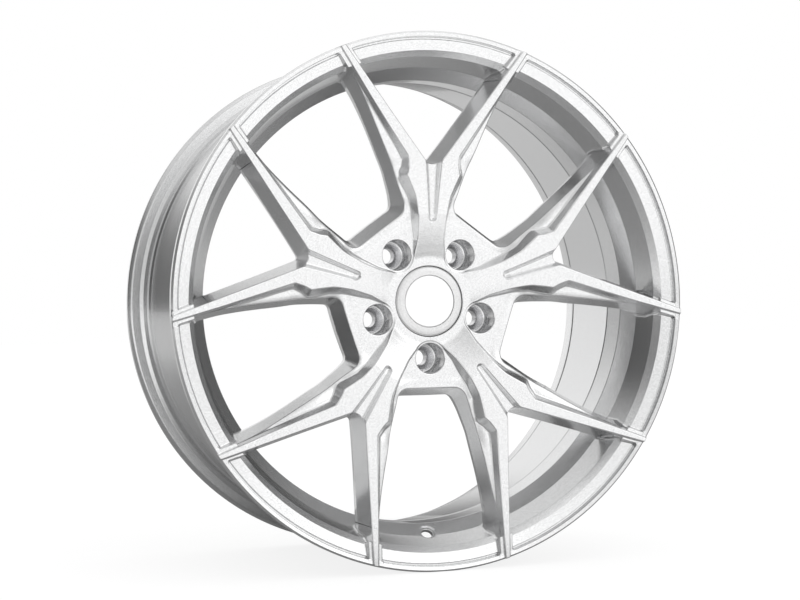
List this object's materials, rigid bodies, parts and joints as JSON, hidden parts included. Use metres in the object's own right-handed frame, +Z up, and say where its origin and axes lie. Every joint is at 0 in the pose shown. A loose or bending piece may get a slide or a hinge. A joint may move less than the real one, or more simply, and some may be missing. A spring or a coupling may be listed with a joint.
{
  "type": "racing wheel rim",
  "caption": "Forged road-racing wheel with Y-shaped spokes running over the lip, a dished hub with deep bolt pockets, a drop-centre barrel and a pull-off centre cap.",
  "frame": {"origin": "on the wheel's axis, halfway between the outer faces of the two flanges", "axes": "+Y along the wheel's axis from the face towards the car, +Z up through the middle of spoke 1, face looking to -Y"},
  "size_m": [0.5208, 0.245, 0.5208],
  "materials": {
    "silver_paint": "forged aluminium in fine silver metallic paint under a gloss clear coat",
    "bright_steel": "turned bright steel",
    "cap_silver": "silver-painted moulded plastic, satin gloss",
    "brushed_disc": "plain satin aluminium disc with no mark",
    "dark_plastic": "dark moulded plastic"
  },
  "bodies": {
    "wheel": {"hub": "silver_paint", "lip_ring": "silver_paint", "barrel": "silver_paint", "rear_flange": "silver_paint", "y_spoke_1": "silver_paint", "y_spoke_2": "silver_paint", "y_spoke_3": "silver_paint", "y_spoke_4": "silver_paint", "y_spoke_5": "silver_paint", "lug_seat_1": "bright_steel", "lug_seat_2": "bright_steel", "lug_seat_3": "bright_steel", "lug_seat_4": "bright_steel", "lug_seat_5": "bright_steel"},
    "cap": {"cap_shell": "cap_silver", "cap_disc": "brushed_disc", "cap_spring_wire": "bright_steel"},
    "ring": {"centring_ring": "dark_plastic"}
  },
  "joints": [
    {"name": "cap_pull", "type": "slide", "parent": "wheel", "child": "cap", "axis": [0, -1, 0], "range_m": [0, 0.04]},
    {"name": "ring_slide", "type": "slide", "parent": "wheel", "child": "ring", "axis": [0, 1, 0], "range_m": [0, 0.03]}
  ]
}
